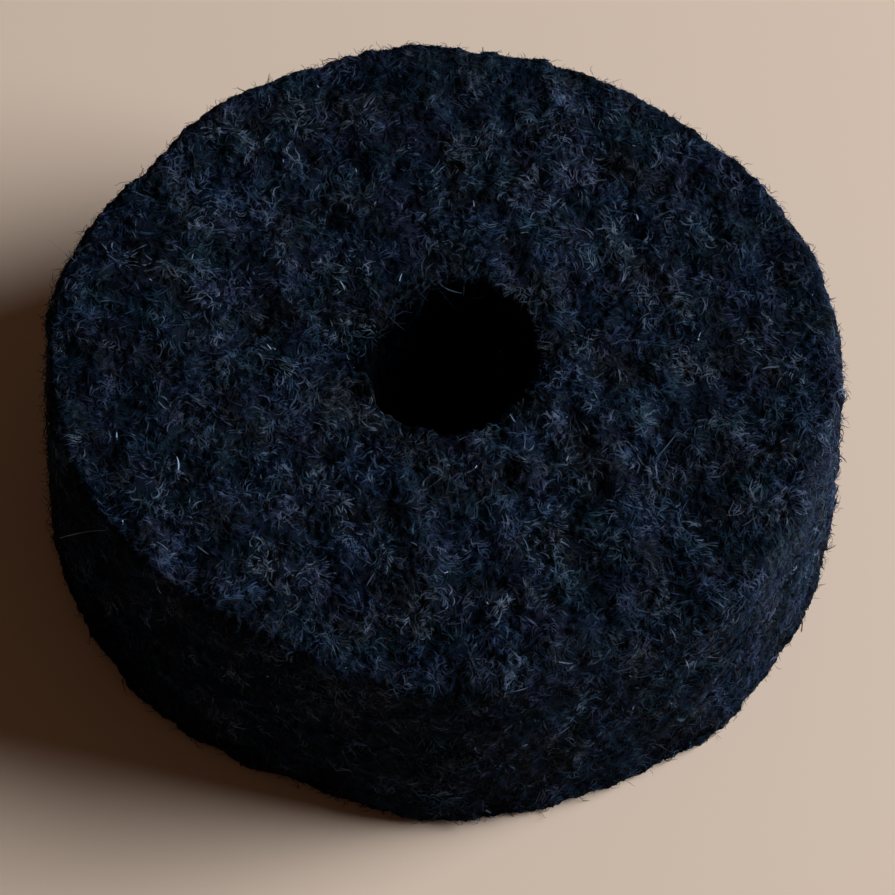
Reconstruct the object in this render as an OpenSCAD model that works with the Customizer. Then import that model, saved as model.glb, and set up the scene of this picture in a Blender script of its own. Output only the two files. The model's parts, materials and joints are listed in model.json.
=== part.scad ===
// Felt polishing wheel: a thick disc punched from pressed wool felt, with a plain hole for a spindle.
//
// The disc is one solid piece of felt. It lies flat: the origin is the centre of its underside and +Z
// runs up the hole. Lengths are in millimetres.

/* [Disc] */
// Outside diameter
disc_d = 40; // [30:1:60]
// Thickness of the felt
disc_t = 12.5; // [6:0.5:20]
// Radius of the softened outer edges
edge_r = 0.9; // [0.3:0.1:2.5]

/* [Spindle hole] */
// Diameter of the hole
hole_d = 9.2; // [4:0.1:16]
// Radius of the softened rims of the hole
rim_r = 0.5; // [0.2:0.1:2]

/* [Hidden] */

$fn = 96;

disc_radius = disc_d / 2;
hole_radius = hole_d / 2;
felt_colour = [0.05, 0.08, 0.12];

// A straight upright band of the section, from radius r0 to r1, that stops short of both faces by end_gap.
module band(r0, r1, end_gap)
    translate([r0, end_gap])
        square([r1 - r0, disc_t - 2 * end_gap]);

// The two rounded corners of the section, at the underside and the top, centred on radius r_mid.
module corner_pair(r_mid, corner_r)
    for (z = [corner_r, disc_t - corner_r])
        translate([r_mid, z])
            circle(r = corner_r);

// Half of the disc's section: radius along X, height along Y.
module half_section() {
    band(hole_radius + rim_r, disc_radius - edge_r, 0);
    band(disc_radius - edge_r, disc_radius, edge_r);
    band(hole_radius, hole_radius + rim_r, rim_r);
    corner_pair(disc_radius - edge_r, edge_r);
    corner_pair(hole_radius + rim_r, rim_r);
}

module felt_disc()
    color(felt_colour)
        rotate_extrude()
            half_section();

felt_disc();
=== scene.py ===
"""A felt polishing wheel: one thick disc of dark pressed wool felt with a punched spindle hole.

The CAD disc is replaced by a lumpy felt body and a nap of single wool fibres, all of it real geometry.
Distances are worked out in millimetres and go to Blender in metres.
"""

import json
import math

import bpy
import numpy as np
from mathutils import Matrix, Vector


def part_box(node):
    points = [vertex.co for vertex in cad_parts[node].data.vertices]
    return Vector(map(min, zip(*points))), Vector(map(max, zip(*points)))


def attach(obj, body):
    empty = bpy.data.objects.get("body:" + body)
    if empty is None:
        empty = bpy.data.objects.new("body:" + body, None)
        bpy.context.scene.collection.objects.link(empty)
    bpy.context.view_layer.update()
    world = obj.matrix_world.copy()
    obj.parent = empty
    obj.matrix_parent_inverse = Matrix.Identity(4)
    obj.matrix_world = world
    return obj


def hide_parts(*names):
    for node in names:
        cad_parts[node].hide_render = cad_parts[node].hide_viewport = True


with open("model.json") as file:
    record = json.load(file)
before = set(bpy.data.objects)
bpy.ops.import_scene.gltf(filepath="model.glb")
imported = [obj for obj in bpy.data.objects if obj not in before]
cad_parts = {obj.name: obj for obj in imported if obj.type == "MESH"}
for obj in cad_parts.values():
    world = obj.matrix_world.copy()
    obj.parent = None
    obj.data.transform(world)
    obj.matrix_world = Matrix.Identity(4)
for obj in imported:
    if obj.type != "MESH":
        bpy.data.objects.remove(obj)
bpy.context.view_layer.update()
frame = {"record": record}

MM = 0.001

# ---- The disc's sizes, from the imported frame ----

low, high = (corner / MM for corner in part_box("felt_disc"))
mounts = {mount["name"]: mount for mount in frame["record"]["mounts"]}
RADIUS = (high.x - low.x) / 2
THICKNESS = high.z - low.z
BORE_RADIUS = mounts["bore"]["dims"]["r_mm"]

# ---- The shape of the felt ----

# The felt's body lies this far under the CAD faces, and the nap of fibres fills the difference.
NAP_DEPTH = 0.2
SIDE_NAP_DEPTH = 0.12
UNDER_NAP_DEPTH = 0.7 * NAP_DEPTH
# How far the body's outer edges and the rims of its hole are rounded.
EDGE_ROUND = 0.5
RIM_ROUND = 0.3
# The underside is pressed flat where it would bulge lower than the first of these heights over the floor,
# and the middle line of no fibre runs lower than the second.
REST_HEIGHT = 0.04
LEAST_HEIGHT = 0.06
# The outline was cut by hand pressure on a soft sheet: it is a little off centre, with flats and swells.
OFF_CENTRE = 0.6
OFF_CENTRE_AZIMUTH = 140
# azimuth in degrees, how far the outline moves outward, half width in degrees
OUTLINE_SWELLS = (
    (145, -0.65, 13),
    (52, -0.15, 18),
    (121, -0.30, 8),
    (-112, -0.30, 12),
    (-88, 0.80, 12),
    (-48, 0.62, 20),
    (100, 0.20, 22),
    (178, 0.14, 18),
    (-155, 0.16, 14),
    (-5, 0.27, 18),
)
# The top edge alone stands out further in these places, so the wall below it leans inward.
TOP_SWELLS = (
    (-101, 0.50, 14),
    (-41, 0.35, 10),
)
# The punched hole is a little longer in one direction, sits slightly to the left and narrows downward.
HOLE_STRETCH = 0.35
HOLE_STRETCH_AZIMUTH = 75
HOLE_TO_LEFT = 0.05
HOLE_TAPER = 0.95
# The springy felt closed up by this much once the punch was out.
HOLE_CLOSING = 0.1


def smoothstep(x):
    """A smooth rise from 0 to 1 as x goes from 0 to 1."""
    x = np.clip(x, 0, 1)
    return x * x * (3 - 2 * x)


def toward(azimuth, elevation):
    """The unit vector at an azimuth, turning from +X to +Y, and an elevation, both in degrees."""
    a, e = math.radians(azimuth), math.radians(elevation)
    return Vector((math.cos(a) * math.cos(e), math.sin(a) * math.cos(e), math.sin(e)))


def ripples(rng, wavelength):
    """A smooth random field over space, about 1 high, whose waves are about that many millimetres long.

    It is a function that gives the field's height and slope at each point.
    """
    count = 16
    way = rng.normal(size=(count, 3))
    way /= np.linalg.norm(way, axis=1, keepdims=True)
    waves = 2 * math.pi * way / (wavelength * rng.uniform(0.7, 1.5, (count, 1)))
    phase = rng.uniform(0, 2 * math.pi, count)
    size = math.sqrt(2 / count)

    def field(points):
        angle = points @ waves.T + phase
        return size * np.sin(angle).sum(-1), size * np.cos(angle) @ waves

    return field


# How many points each rounded corner of the section has, and how many the whole section is resampled to.
ARC_POINTS = 13
SECTION_POINTS = 1600


def section():
    """The closed outline of half the disc's section, walked from the hole's top rim outward over the top.

    Returns the distances along it where each of the four faces starts, with its whole length last, and a
    function from distance along it to radius, height and outward normal.
    """
    inner, outer = BORE_RADIUS, RADIUS - SIDE_NAP_DEPTH
    bottom, top = UNDER_NAP_DEPTH, THICKNESS - NAP_DEPTH
    corners = (
        (outer - EDGE_ROUND, top - EDGE_ROUND, EDGE_ROUND, 90),
        (outer - EDGE_ROUND, bottom + EDGE_ROUND, EDGE_ROUND, 0),
        (inner + RIM_ROUND, bottom + RIM_ROUND, RIM_ROUND, -90),
        (inner + RIM_ROUND, top - RIM_ROUND, RIM_ROUND, -180),
    )
    line = []
    for r, z, size, start in corners:
        for turn in np.radians(np.linspace(start, start - 90, ARC_POINTS)):
            line.append((r + size * math.cos(turn), z + size * math.sin(turn)))
    # The walk starts halfway round the last corner, so every face starts halfway round one.
    line = np.roll(line, ARC_POINTS // 2 + 1, axis=0)
    line = np.concatenate([line, line[:1]])
    along = np.concatenate([[0], np.cumsum(np.linalg.norm(np.diff(line, axis=0), axis=1))])
    fine = np.linspace(0, along[-1], SECTION_POINTS)
    r, z = np.interp(fine, along, line[:, 0]), np.interp(fine, along, line[:, 1])
    slope = np.stack([np.gradient(r), np.gradient(z)])
    slope /= np.linalg.norm(slope, axis=0)

    def at(s):
        s = np.mod(s, along[-1])
        return [np.interp(s, fine, v) for v in (r, z, -slope[1], slope[0])]

    return along[::ARC_POINTS], at


(_, SIDE_START, UNDER_START, BORE_START, SECTION_LENGTH), section_at = section()
shape_rng = np.random.default_rng(11)
# The lumps of the felt's surface: how high they are and the field they follow, broadest first.
LUMPS = (
    (0.07, ripples(shape_rng, 9.0)),
    (0.06, ripples(shape_rng, 2.6)),
    (0.037, ripples(shape_rng, 1.1)),
    (0.026, ripples(shape_rng, 0.55)),
)


def swelling(azimuth, swells):
    """How far a list of swells moves the outline outward, at an azimuth in radians."""
    shift = 0
    for centre, height, width in swells:
        away = np.angle(np.exp(1j * (azimuth - math.radians(centre))))
        shift = shift + height * np.exp(-((away / math.radians(width)) ** 2))
    return shift


def outline_shift(azimuth, z):
    """How far the outer wall stands outside a true circle, at an azimuth in radians and a height."""
    off_centre = OFF_CENTRE * np.cos(azimuth - math.radians(OFF_CENTRE_AZIMUTH))
    leaning = swelling(azimuth, TOP_SWELLS) * z / THICKNESS
    return off_centre + swelling(azimuth, OUTLINE_SWELLS) + leaning


def felt_surface(s, azimuth):
    """Points on the felt's body, with the outward normals of its lumpy surface."""
    r, z, normal_r, normal_z = section_at(s)
    outward = smoothstep((r - BORE_RADIUS) / (RADIUS - BORE_RADIUS))
    hole_shift = HOLE_STRETCH * np.cos(2 * (azimuth - math.radians(HOLE_STRETCH_AZIMUTH)))
    hole_shift = hole_shift - HOLE_TO_LEFT * np.cos(azimuth) - HOLE_TAPER * (1 - z / THICKNESS) - HOLE_CLOSING
    r = r + outward * outline_shift(azimuth, z) + (1 - outward) * hole_shift
    x, y = np.cos(azimuth), np.sin(azimuth)
    points = np.stack([r * x, r * y, z], axis=-1)
    normals = np.stack([normal_r * x, normal_r * y, normal_z], axis=-1)
    height, slope = 0, 0
    for size, field in LUMPS:
        rise, steepness = field(points)
        height = height + size * rise
        slope = slope + size * steepness
    points = points + height[..., None] * normals
    points[..., 2] = np.maximum(points[..., 2], REST_HEIGHT)
    slope = slope - (slope * normals).sum(-1, keepdims=True) * normals
    lumpy = normals - slope
    return points, lumpy / np.linalg.norm(lumpy, axis=-1, keepdims=True)


# ---- Materials ----

# Wool this dark has hardly any gloss of its own, and a usual amount would turn it grey. The ground is seen
# in the hole, where it has to be black.
WOOL_SPECULAR = 0.03
GROUND_SPECULAR = 0.002
# No wool has more gloss than this many times its brightness.
MOST_SPECULAR = 8


def principled(name, colour, roughness):
    """A new material, with its node tree and its shader."""
    material = bpy.data.materials.new(name)
    material.use_nodes = True
    shader = material.node_tree.nodes["Principled BSDF"]
    shader.inputs["Base Color"].default_value = (*colour, 1)
    shader.inputs["Roughness"].default_value = roughness
    return material, material.node_tree, shader


def felt_ground():
    """The matted wool under the nap: near black, with darker and lighter clouds and a fibrous bump.

    It is painted darker towards the hole, as painted shade, so that the hole's wall is black.
    """
    material, tree, shader = principled("felt_ground", (0.003, 0.0045, 0.008), 0.95)
    shader.inputs["Specular IOR Level"].default_value = GROUND_SPECULAR
    nodes, links = tree.nodes, tree.links
    place = nodes.new("ShaderNodeTexCoord")
    clouds = nodes.new("ShaderNodeTexNoise")
    clouds.inputs["Scale"].default_value = 420
    clouds.inputs["Detail"].default_value = 6
    ramp = nodes.new("ShaderNodeValToRGB")
    ramp.color_ramp.elements[0].position = 0.35
    ramp.color_ramp.elements[0].color = (0.0024, 0.0045, 0.0090, 1)
    ramp.color_ramp.elements[1].position = 0.7
    ramp.color_ramp.elements[1].color = (0.0074, 0.0125, 0.0235, 1)
    flat_place = nodes.new("ShaderNodeVectorMath")
    flat_place.operation = "MULTIPLY"
    flat_place.inputs[1].default_value = (1, 1, 0)
    from_axis = nodes.new("ShaderNodeVectorMath")
    from_axis.operation = "LENGTH"
    # Painted shade: the ground's colour is scaled down to near black towards the hole.
    painted_rim_shade = nodes.new("ShaderNodeMapRange")
    painted_rim_shade.interpolation_type = "SMOOTHSTEP"
    painted_rim_shade.inputs["From Min"].default_value = (BORE_RADIUS + 0.1) * MM
    painted_rim_shade.inputs["From Max"].default_value = (BORE_RADIUS + 0.7) * MM
    painted_rim_shade.inputs["To Min"].default_value = 0.02
    shaded = nodes.new("ShaderNodeVectorMath")
    shaded.operation = "SCALE"
    mat = nodes.new("ShaderNodeTexNoise")
    mat.inputs["Scale"].default_value = 6000
    mat.inputs["Detail"].default_value = 4
    mat.inputs["Distortion"].default_value = 1.5
    bump = nodes.new("ShaderNodeBump")
    bump.inputs["Strength"].default_value = 0.8
    bump.inputs["Distance"].default_value = 0.00015
    links.new(place.outputs["Object"], clouds.inputs["Vector"])
    links.new(place.outputs["Object"], mat.inputs["Vector"])
    links.new(place.outputs["Object"], flat_place.inputs[0])
    links.new(flat_place.outputs["Vector"], from_axis.inputs[0])
    links.new(from_axis.outputs["Value"], painted_rim_shade.inputs["Value"])
    links.new(clouds.outputs["Fac"], ramp.inputs["Fac"])
    links.new(ramp.outputs["Color"], shaded.inputs[0])
    links.new(painted_rim_shade.outputs["Result"], shaded.inputs["Scale"])
    links.new(shaded.outputs["Vector"], shader.inputs["Base Color"])
    links.new(mat.outputs["Fac"], bump.inputs["Height"])
    links.new(bump.outputs["Normal"], shader.inputs["Normal"])
    return material


# The wool is a blend of four close hues, each at these levels of brightness, darkest first.
HUES = {
    "teal": (0.18, 1.12, 1.98),
    "olive": (0.74, 1.04, 1.48),
    "navy": (0.26, 1.03, 2.90),
    "violet": (0.68, 0.98, 2.58),
}
# What every hue fades to, and the brightness at which it gets there.
PALE_HUE = (0.73, 1.02, 1.52)
PALE_BRIGHTNESS = 0.085
# name, brightness, share of the nap; the last is for single hairs and flecks only
LEVELS = (
    ("pitch", 0.0007, 0.02),
    ("black", 0.0030, 0.14),
    ("dusk", 0.0052, 0.15),
    ("deep", 0.0080, 0.17),
    ("dim", 0.0117, 0.17),
    ("mid", 0.0172, 0.14),
    ("soft", 0.026, 0.10),
    ("light", 0.042, 0.075),
    ("pale", 0.075, 0.025),
    ("white", 0.24, 0.0),
)


def wool_colour(hue, brightness):
    """The dye's hue fades towards a pale grey-blue as the fibre gets brighter."""
    fade = min(1, (brightness / PALE_BRIGHTNESS) ** 0.65)
    return [brightness * (dyed + fade * (grey - dyed)) for dyed, grey in zip(hue, PALE_HUE)]


def wool_material(hue_name, level_name, brightness):
    colour = wool_colour(HUES[hue_name], brightness)
    material, _, shader = principled(f"wool_{hue_name}_{level_name}", colour, 0.6)
    shader.inputs["Specular IOR Level"].default_value = min(WOOL_SPECULAR, MOST_SPECULAR * brightness)
    return material


wool = [wool_material(hue, name, bright) for hue in HUES for name, bright, _ in LEVELS]
level_share = np.cumsum([share for *_, share in LEVELS])
level_share /= level_share[-1]


def wool_slot(hue, level_name):
    """The number of a wool, from its hue's number and its level's name."""
    return hue * len(LEVELS) + [name for name, *_ in LEVELS].index(level_name)


# ---- Meshes ----


def mesh_piece(name, points, faces, materials, slots=None, normals=None):
    """A smooth-shaded piece that stands in for the felt disc, from points in millimetres.

    faces is a list of index arrays, each with one row per face. slots gives every face's material, and
    normals every point's shading normal.
    """
    mesh = bpy.data.meshes.new(name)
    mesh.vertices.add(len(points))
    mesh.vertices.foreach_set("co", (points * MM).astype(np.float32).ravel())
    sides = np.concatenate([np.full(len(rows), rows.shape[1]) for rows in faces])
    corners = np.concatenate([rows.ravel() for rows in faces])
    mesh.loops.add(len(corners))
    mesh.loops.foreach_set("vertex_index", corners.astype(np.int32))
    mesh.polygons.add(len(sides))
    mesh.polygons.foreach_set("loop_start", (np.cumsum(sides) - sides).astype(np.int32))
    mesh.polygons.foreach_set("use_smooth", np.ones(len(sides), bool))
    if slots is not None:
        mesh.polygons.foreach_set("material_index", slots.astype(np.int32))
    for material in materials:
        mesh.materials.append(material)
    mesh.update(calc_edges=True)
    mesh.validate()
    if normals is not None:
        mesh.normals_split_custom_set_from_vertices(normals)
    piece = bpy.data.objects.new(name, mesh)
    bpy.context.scene.collection.objects.link(piece)
    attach(piece, "root")
    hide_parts("felt_disc")


def felt_body():
    """The pressed body of the felt: the section swept round the hole, with its lumps."""
    rows, columns = 190, 500
    s, azimuth = np.meshgrid(
        np.linspace(0, SECTION_LENGTH, rows, endpoint=False),
        np.linspace(0, 2 * math.pi, columns, endpoint=False),
        indexing="ij",
    )
    points, _ = felt_surface(s, azimuth)
    index = np.arange(rows * columns).reshape(rows, columns)
    down, right = np.roll(index, -1, axis=0), np.roll(index, -1, axis=1)
    across = np.roll(down, -1, axis=1)
    quads = np.stack([index, down, across, right], axis=-1).reshape(-1, 4)
    mesh_piece("felt_body", points.reshape(-1, 3), [quads], [felt_ground()])


# A fibre is a tube of this many sides, capped at both ends.
SIDES = 3
# How much a fibre is shaded by the felt's own slope, since light passes through wool this fine.
FELT_SLOPE = 0.96
# The height over the felt's surface at which a fibre starts, which is a little under it.
ROOT_HEIGHT = -0.06


def fibre_lines(rng, steps, s0, azimuth0, look):
    """The middle lines of a set of fibres, each rooted in the felt at (s0, azimuth0).

    A fibre follows the surface along a curling line, and rises out of it by its lift. A free one ends up
    in the air, and any other dips back in. Returns the lines and the felt's normals along them.
    """
    t = np.linspace(0, 1, steps + 1)[None, :]
    look = {key: value[:, None] for key, value in look.items()}
    heading = (
        look["heading"]
        + look["bend"] * (t - 0.5)
        + look["curl"] * np.sin(2 * math.pi * (look["turns"] * t + look["phase"]))
    )
    step = look["length"] / steps
    walk_s = np.cumsum(np.cos(heading) * step, axis=1)
    walk_round = np.cumsum(np.sin(heading) * step, axis=1)
    r0 = np.maximum(section_at(s0)[0], BORE_RADIUS)
    s = s0[:, None] + walk_s
    azimuth = azimuth0[:, None] + walk_round / r0[:, None]
    arch = np.where(look["free"], t**0.9, np.sin(math.pi * t) ** 0.8)
    wobble = 0.25 * np.sin(2 * math.pi * (1.5 * t + rng.random((len(s0), 1)))) * t * (1 - t)
    rise = ROOT_HEIGHT + (look["lift"] - ROOT_HEIGHT) * (arch + wobble)
    base, normals = felt_surface(s, azimuth)
    return base + rise[..., None] * normals, normals


def fibres_piece(name, lines, normals, radius, slot):
    """A piece made of fibres: a tapered tube round each line, each in the wool of its slot."""
    count, rings = lines.shape[:2]
    lines[..., 2] = np.maximum(lines[..., 2], LEAST_HEIGHT)
    along = np.gradient(lines, axis=1)
    along /= np.linalg.norm(along, axis=2, keepdims=True) + 1e-9
    side = np.cross(normals, along)
    side /= np.linalg.norm(side, axis=2, keepdims=True) + 1e-9
    up = np.cross(along, side)
    t = np.linspace(0, 1, rings)
    # A fibre is thickest halfway, and less than a third as thick at its ends.
    thick = radius[:, None, None] * (0.1 + 0.9 * np.sin(math.pi * (0.05 + 0.9 * t)) ** 0.8)[:, None]
    corners, slopes = [], []
    for turn in 2 * math.pi * np.arange(SIDES) / SIDES:
        out = math.cos(turn) * side + math.sin(turn) * up
        corners.append(lines + thick * out)
        slopes.append(FELT_SLOPE * normals + (1 - FELT_SLOPE) * out)
    points = np.stack(corners, axis=2).reshape(-1, 3)
    slopes = np.stack(slopes, axis=2).reshape(-1, 3)
    slopes /= np.linalg.norm(slopes, axis=1, keepdims=True)

    index = np.arange(len(points)).reshape(count, rings, SIDES)
    here, ahead = index[:, :-1], index[:, 1:]
    quads = np.stack([here, np.roll(here, -1, axis=2), np.roll(ahead, -1, axis=2), ahead], axis=-1)
    ends = np.concatenate([index[:, 0, ::-1], index[:, -1]])
    slots = np.concatenate([np.repeat(slot, (rings - 1) * SIDES), slot, slot])
    mesh_piece(name, points, [quads.reshape(-1, 4), ends], wool, slots, slopes)


noise_rng = np.random.default_rng(23)
# The shade of a lock is made of these fields, broadest first, and a share of chance, with these weights.
shade_fields = (ripples(noise_rng, 3.6), ripples(noise_rng, 1.6), ripples(noise_rng, 0.9))
SHADE_WEIGHTS = (0.42, 0.58, 0.60, 0.36)
violet_patches = ripples(noise_rng, 2.6)
red_patches = ripples(noise_rng, 3.2)
lie_patches = ripples(noise_rng, 5.0)
tufts = ripples(noise_rng, 1.3)
# Clumps of paler wool, or darker ones: distance along the section from the hole's top rim, azimuth in
# degrees, size, and how much paler.
CLUMPS = (
    (24.5, -92, 0.9, 1.5),
    (15, -80, 0.5, 1.3),
    (3, 145, 0.5, 0.8),
    (8, 0, 0.5, 1.0),
    (9.5, -105, 3.5, -0.3),
    (15, -100, 1.5, 0.5),
)
# How many fibres there are in a lock, and steps along a fibre.
LOCK_SIZE = 4
NAP_STEPS = 5
# The share of the locks that is loose, how much the tufts add to it, and how much of the usual spread the
# fibres of a loose lock have.
LOOSE_SHARE = 0.17
TUFT_SHARE = 0.12
LOOSE_SPREAD = 0.35
# Scales the logistic curve so that it follows the normal distribution's.
LOGISTIC_SCALE = 1.702
# The foot of the outer wall, where it meets the floor, is painted darker as painted shade: how much, and how
# far up.
FOOT_PAINTED_SHADE = 0.9
FOOT_HEIGHT = 3.5
# Painted shade in the hole: its rim is painted this much darker, and its wall is painted darker still down
# its depth by the second.
RIM_PAINTED_SHADE = 1.2
DEPTH_PAINTED_SHADE = 3


def hole_painted_shade(place):
    """How much darker the wool is painted at the hole's rim and down its wall, as painted shade in the hole.

    On the far side, whose upper wall is faintly lit, the painted shade deepens more slowly with depth.
    """
    from_axis = np.linalg.norm(place[:, :2], axis=1)
    in_hole = 1 - smoothstep((from_axis - BORE_RADIUS) / 0.3)
    far_side = np.maximum(place[:, 1] / from_axis, 0)
    reach = 0.3 + 2.2 * far_side**2
    return in_hole * (RIM_PAINTED_SHADE + DEPTH_PAINTED_SHADE * smoothstep((THICKNESS - place[:, 2]) / reach))


def clump_paleness(place):
    """How much paler the clumps make the wool."""
    paler = 0
    for s, azimuth, size, amount in CLUMPS:
        centre = felt_surface(np.array([s]), np.radians([azimuth]))[0]
        paler = paler + amount * np.exp(-((place - centre) ** 2).sum(1) / size**2)
    return paler


def foot_painted_shade(s):
    """How much darker the nap is painted, as painted shade, at a distance along the section, on the foot of
    the outer wall.
    """
    up_the_wall = UNDER_START - s
    return np.where(up_the_wall > 0, FOOT_PAINTED_SHADE * np.clip(1 - up_the_wall / FOOT_HEIGHT, 0, 1), 0)


def nap(name, seed, start, end, per_mm2, sectors, painted_light_tone=0.0, standing=1.0):
    """The nap over one face of the felt, in sectors round the hole.

    The fibres lie in small locks: neighbours that run much the same way and have nearly the same shade.
    Most locks are matted down. The loose ones gather in tufts, and are tighter and finer; most are painted
    paler, as painted light for the light they catch.
    The tone paints the whole face lighter or darker, as painted light and shade, and standing makes its loose
    fibres stand higher or lower.
    """
    rng = np.random.default_rng(seed)
    samples = np.linspace(start, end, 400)
    radii = section_at(samples)[0]
    share = np.cumsum(radii)
    share = (share - share[0]) / (share[-1] - share[0])
    area = 2 * math.pi * radii.mean() * (end - start)
    locks = int(area * per_mm2 / sectors / LOCK_SIZE)
    of_lock = np.repeat(np.arange(locks), LOCK_SIZE)
    count = len(of_lock)
    for sector in range(sectors):
        lock_s = np.interp(rng.random(locks), share, samples)
        lock_azimuth = 2 * math.pi * (sector + rng.random(locks)) / sectors
        lock_place = felt_surface(lock_s, lock_azimuth)[0]
        from_axis = np.linalg.norm(lock_place[:, :2], axis=1)
        loose_lock = rng.random(locks) < LOOSE_SHARE + TUFT_SHARE * tufts(lock_place)[0]
        loose = loose_lock[of_lock]
        apart = np.where(loose, LOOSE_SPREAD, 1)

        def shared(values, spread):
            return values[of_lock] + apart * rng.normal(0, spread, count)

        def mixed(matted, looser):
            return np.where(loose, rng.uniform(*looser, count), rng.uniform(*matted, count))

        s0 = shared(lock_s, 0.13)
        azimuth0 = shared(lock_azimuth, 0.13 / np.maximum(from_axis, BORE_RADIUS)[of_lock])
        lie = math.pi * (lie_patches(lock_place)[0] + rng.integers(0, 2, locks)) + rng.normal(0, 0.9, locks)
        look = {
            "heading": shared(lie, 0.45),
            "bend": shared(rng.normal(0, 1.4, locks), 0.6),
            "curl": shared(rng.uniform(0.0, 0.8, locks), 0.2),
            "turns": shared(rng.uniform(0.5, 1.1, locks), 0.1),
            "phase": shared(rng.random(locks), 0.1),
            "length": mixed((0.5, 1.25), (0.5, 1.35)),
            "free": loose & (rng.random(count) < 0.75),
        }
        loose_lift = standing * np.minimum(rng.gamma(2.0, 0.05, count), 0.35)
        look["lift"] = np.where(look["free"], loose_lift, rng.uniform(0, 0.05, count))
        lines, normals = fibre_lines(rng, NAP_STEPS, s0, azimuth0, look)

        lock_shade = sum(w * field(lock_place)[0] for w, field in zip(SHADE_WEIGHTS, shade_fields))
        # Loose locks are painted paler, as painted light for the light they catch standing out of the nap.
        lock_shade += SHADE_WEIGHTS[3] * rng.normal(0, 1, locks) + loose_lock * rng.normal(0.7, 0.5, locks)
        # Painted shade goes in here: the face's tone, the hole's darkness and the wall foot's darkness. The
        # clumps' paleness is the wool's own.
        lock_shade += painted_light_tone + clump_paleness(lock_place) - hole_painted_shade(lock_place) - foot_painted_shade(lock_s)
        shade = shared(lock_shade, 0.1)
        level = np.searchsorted(level_share, 1 / (1 + np.exp(-LOGISTIC_SCALE * shade)))
        violet_side = shared(violet_patches(lock_place)[0], 0.45) > 0
        red_side = shared(red_patches(lock_place)[0], 0.45) > 0
        slot = (2 * violet_side + red_side) * len(LEVELS) + level
        radius = mixed((0.030, 0.048), (0.022, 0.038))
        fibres_piece(f"{name}_{sector + 1}", lines, normals, radius, slot)


SINGLE_HAIR_RADIUS = 0.042
# Single hairs that catch the eye. Each is rooted so many millimetres from the hole's rim, over the top and
# down the side, at an azimuth, and sets off at an azimuth and an elevation, all in degrees. Then come its
# length and how far its end is bowed sideways and up, as parts of the length, and its wool's level.
SINGLE_HAIRS = (
    # The first, long hair lies in the disc's shadow and is given white wool as painted light, for the light
    # it catches in the air.
    (16, -147, 190, 10, 2.5, 0.05, -0.2, "white"),
    (10.5, -150, 60, 20, 0.6, 0.7, 0.1, "white"),
    (10.5, -148, -20, 15, 0.5, -0.6, 0.2, "white"),
    (16, -135, -110, 15, 0.6, 0.7, 0, "white"),
    (4.5, 85, 80, 35, 0.5, 0.3, 0, "white"),
    (8.5, 45, 100, 40, 0.4, 0.2, 0, "white"),
    (2.5, 145, 100, 20, 0.5, 0.4, 0, "white"),
    (12.5, -160, 80, 20, 0.5, 0.2, 0, "white"),
    (14.5, -145, 70, 20, 0.4, 0.3, 0, "white"),
    (12.5, -135, -50, 10, 1.1, 0.1, 0, "pale"),
    (10, -105, 55, 10, 1.0, 0.1, 0, "pale"),
    (4.5, -35, 75, 10, 2.9, -0.4, -0.1, "pale"),
    (7.5, -30, 50, 10, 2.1, 0.1, -0.1, "light"),
    (12, 0, 150, 10, 0.8, 0.7, -0.1, "pale"),
    (15.5, -80, 5, 10, 0.9, 0.2, -0.1, "pale"),
    (19, -75, -80, -60, 0.7, 0.4, 0.2, "pale"),
    (0, 100, -70, -20, 1.1, 0.9, 0.2, "light"),
    (-0.5, 70, -120, -5, 0.8, -0.9, 0.1, "light"),
    (-4.5, 55, -100, 60, 1.3, -0.4, 0.2, "white"),
)


# A hair starts this far back from the felt's surface, along its own way.
HAIR_ROOT = 0.1


def hairs_piece(name, s, azimuth, way, bow, length, radius, slot, steps=6):
    """Hairs rooted in the felt at (s, azimuth) that set off each its own way and bend by its bow."""
    root, normals = felt_surface(s, azimuth)
    t = np.linspace(0, 1, steps + 1)[None, :, None]
    reach = length[:, None, None] * (t * way[:, None] + t**2 * bow[:, None])
    lines = (root - HAIR_ROOT * way)[:, None] + reach
    fibres_piece(name, lines, np.repeat(normals[:, None], steps + 1, axis=1), radius, slot)


def single_hairs():
    """The hairs of the list above, which take the hues in turn."""
    s, azimuth, way_azimuth, way_elevation, length, sideways, upward = np.array(
        [hair[:7] for hair in SINGLE_HAIRS]
    ).T
    way = np.array([toward(a, e) for a, e in zip(way_azimuth, way_elevation)])
    level_side = np.cross([0, 0, 1], way)
    bow = sideways[:, None] * level_side + upward[:, None] * np.array([0, 0, 1])
    slot = np.array([wool_slot(number % len(HUES), hair[7]) for number, hair in enumerate(SINGLE_HAIRS)])
    radius = np.full(len(s), SINGLE_HAIR_RADIUS)
    hairs_piece("hairs_single", s, np.radians(azimuth), way, bow, length, radius, slot, steps=12)


def random_way(rng, drawn_to, pull):
    """Random directions, each drawn towards its own one by an amount between the two of pull."""
    way = rng.normal(0, 1, drawn_to.shape) + rng.uniform(*pull, (len(drawn_to), 1)) * drawn_to
    return way / np.linalg.norm(way, axis=1, keepdims=True)


def random_wool(rng, count, first, last):
    """Wools of random hue, with levels from one name to another."""
    levels = [wool_slot(0, first), wool_slot(0, last) + 1]
    return rng.integers(0, len(HUES), count) * len(LEVELS) + rng.integers(*levels, count)


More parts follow.
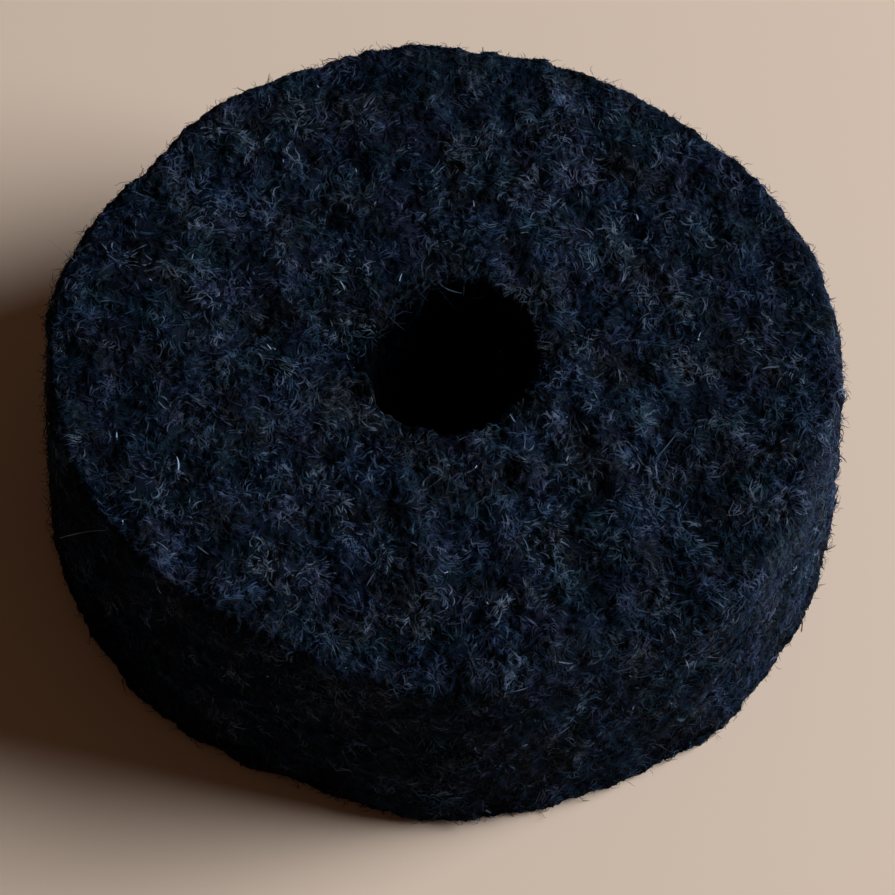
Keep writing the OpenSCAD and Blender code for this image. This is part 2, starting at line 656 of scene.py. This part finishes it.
def fine_curls(name, seed, start, end):
    """Curls finer than the nap, which stand off the edge and the side of the felt."""
    rng = np.random.default_rng(seed)
    count = 6000
    look = {
        "heading": rng.uniform(0, 2 * math.pi, count),
        "bend": rng.normal(0, 1.6, count),
        "curl": rng.uniform(0.2, 1.2, count),
        "turns": rng.uniform(0.4, 1.2, count),
        "phase": rng.random(count),
        "length": rng.uniform(0.25, 0.85, count),
        "free": np.ones(count, bool),
        "lift": np.minimum(rng.gamma(2.2, 0.1, count), 0.6),
    }
    s, azimuth = rng.uniform(start, end, count), rng.uniform(0, 2 * math.pi, count)
    lines, normals = fibre_lines(rng, NAP_STEPS, s, azimuth, look)
    radius = rng.uniform(0.010, 0.018, count)
    fibres_piece(name, lines, normals, radius, random_wool(rng, count, "deep", "light"))


def dark_tuft():
    """A small tangle of dark wool that sticks out of the wall on the right."""
    rng = np.random.default_rng(38)
    count = 9
    s, azimuth = rng.normal(24, 0.15, count), np.radians(rng.normal(-15, 1.0, count))
    way = random_way(rng, felt_surface(s, azimuth)[1], (0.5, 1.5))
    bow = rng.normal(0, 0.7, (count, 3))
    slot = random_wool(rng, count, "black", "deep")
    radius = rng.uniform(0.030, 0.042, count)
    hairs_piece("hairs_tuft", s, azimuth, way, bow, rng.uniform(0.35, 0.6, count), radius, slot, steps=10)


def stray_hairs():
    """A few thin curved hairs that stand clear of the nap."""
    rng = np.random.default_rng(36)
    count = 70
    s, azimuth = rng.uniform(0, UNDER_START, count), rng.uniform(0, 2 * math.pi, count)
    way = random_way(rng, felt_surface(s, azimuth)[1], (0.1, 0.8))
    bow = rng.normal(0, 0.8, (count, 3))
    slot = random_wool(rng, count, "dusk", "pale")
    radius = rng.uniform(0.010, 0.018, count)
    hairs_piece("hairs_stray", s, azimuth, way, bow, rng.uniform(0.5, 0.9, count), radius, slot, steps=10)


def rim_wisps():
    """The wisps that hang over the hole from the far part of its rim."""
    rng = np.random.default_rng(32)
    count = 200
    s = rng.uniform(-0.9, 0.2, count)
    azimuth = np.radians(rng.normal(92, 34, count))
    inward = np.stack([-np.cos(azimuth), -np.sin(azimuth), np.full(count, -0.5)], axis=1)
    way = random_way(rng, inward, (0.2, 1.3))
    bow = rng.normal(0, 0.9, (count, 3))
    slot = random_wool(rng, count, "dusk", "mid")
    radius = rng.uniform(0.014, 0.028, count)
    hairs_piece("hairs_rim", s, azimuth, way, bow, rng.uniform(0.25, 0.55, count), radius, slot)


def flecks():
    """Short bright specks of undyed wool, scattered over the felt."""
    rng = np.random.default_rng(33)
    count = 130
    s = rng.uniform(0.3, UNDER_START - 0.5, count)
    azimuth = rng.uniform(0, 2 * math.pi, count)
    way = random_way(rng, felt_surface(s, azimuth)[1], (0.1, 0.6))
    bow = rng.normal(0, 0.5, (count, 3))
    slot = random_wool(rng, count, "pale", "white")
    radius = rng.uniform(0.026, 0.044, count)
    hairs_piece("hairs_flecks", s, azimuth, way, bow, rng.uniform(0.15, 0.4, count), radius, slot)


# The fine curls of the edge reach from this far in on the top to this far down the wall.
EDGE_CURLS_IN = 1.2
EDGE_CURLS_DOWN = 2.5
# Those of the wall reach a little way round the bottom edge.
SIDE_CURLS_UNDER = 0.4

felt_body()
nap("nap_top", 101, 0, SIDE_START, per_mm2=40, sectors=9)
# The side wall's tone of -0.3 is painted shade, which makes the whole wall darker than the top.
nap("nap_side", 102, SIDE_START, UNDER_START, per_mm2=28, sectors=8, painted_light_tone=-0.3, standing=1.2)
nap("nap_under", 103, UNDER_START, BORE_START, per_mm2=18, sectors=4, standing=0.4)
nap("nap_bore", 104, BORE_START, SECTION_LENGTH, per_mm2=16, sectors=1, standing=0.8)
fine_curls("fuzz_edge", 31, SIDE_START - EDGE_CURLS_IN, SIDE_START + EDGE_CURLS_DOWN)
fine_curls("fuzz_side", 35, SIDE_START + EDGE_CURLS_DOWN, UNDER_START + SIDE_CURLS_UNDER)
single_hairs()
dark_tuft()
stray_hairs()
rim_wisps()
flecks()


# ---- Floor, light and camera ----

FLOOR_COLOUR = (0.60, 0.50, 0.41)
KEY_COLOUR = (1.0, 0.99, 1.0)
# The weak fill is warm, as light that has come off the floor.
FILL_COLOUR = (1.0, 0.54, 0.32)
FILL_STRENGTH = 0.07


def floor():
    """A plain floor, in metres."""
    material = principled("floor_plain", FLOOR_COLOUR, 0.9)[0]
    mesh = bpy.data.meshes.new("floor")
    half = 0.6
    corners = [(-half, -half, 0), (half, -half, 0), (half, half, 0), (-half, half, 0)]
    mesh.from_pydata(corners, [], [(0, 1, 2, 3)])
    mesh.materials.append(material)
    plane = bpy.data.objects.new("floor", mesh)
    bpy.context.scene.collection.objects.link(plane)


def softbox(name, azimuth, elevation, distance, size, power, colour):
    """A round soft light that faces the origin. Its distance and size are in metres, its power in watts."""
    data = bpy.data.lights.new(name, "AREA")
    data.shape = "DISK"
    data.size = size
    data.energy = power
    data.color = colour
    lamp = bpy.data.objects.new(name, data)
    way = toward(azimuth, elevation)
    lamp.location = way * distance
    lamp.rotation_euler = way.to_track_quat("Z", "Y").to_euler()
    bpy.context.scene.collection.objects.link(lamp)


def studio():
    """The floor, one large soft key light low on the right, and the fill."""
    scene = bpy.context.scene
    world = bpy.data.worlds.new("studio")
    world.use_nodes = True
    background = world.node_tree.nodes["Background"]
    background.inputs["Color"].default_value = (*FILL_COLOUR, 1)
    background.inputs["Strength"].default_value = FILL_STRENGTH
    scene.world = world
    scene.view_settings.view_transform = "Standard"
    floor()
    softbox("key", azimuth=7, elevation=25, distance=0.65, size=0.5, power=10.0, colour=KEY_COLOUR)


def camera():
    """Looks down at the disc from the front with a long lens, turned a little about its own axis."""
    aim = Vector((-0.08, -1.1, 6.0)) * MM
    distance = 300 * MM
    elevation, roll = 53.7, math.radians(-2.2)
    forward = -toward(-90, elevation)
    level = Vector((1, 0, 0))
    lifted = level.cross(forward)
    right = math.cos(roll) * level - math.sin(roll) * lifted
    up = math.sin(roll) * level + math.cos(roll) * lifted
    data = bpy.data.cameras.new("camera")
    data.sensor_width = 36
    data.lens = 236.4
    data.clip_start = 0.01
    view = bpy.data.objects.new("camera", data)
    turn = Matrix((right, up, -forward)).transposed().to_4x4()
    view.matrix_world = Matrix.Translation(aim - forward * distance) @ turn
    bpy.context.scene.collection.objects.link(view)
    bpy.context.scene.camera = view


studio()
camera()
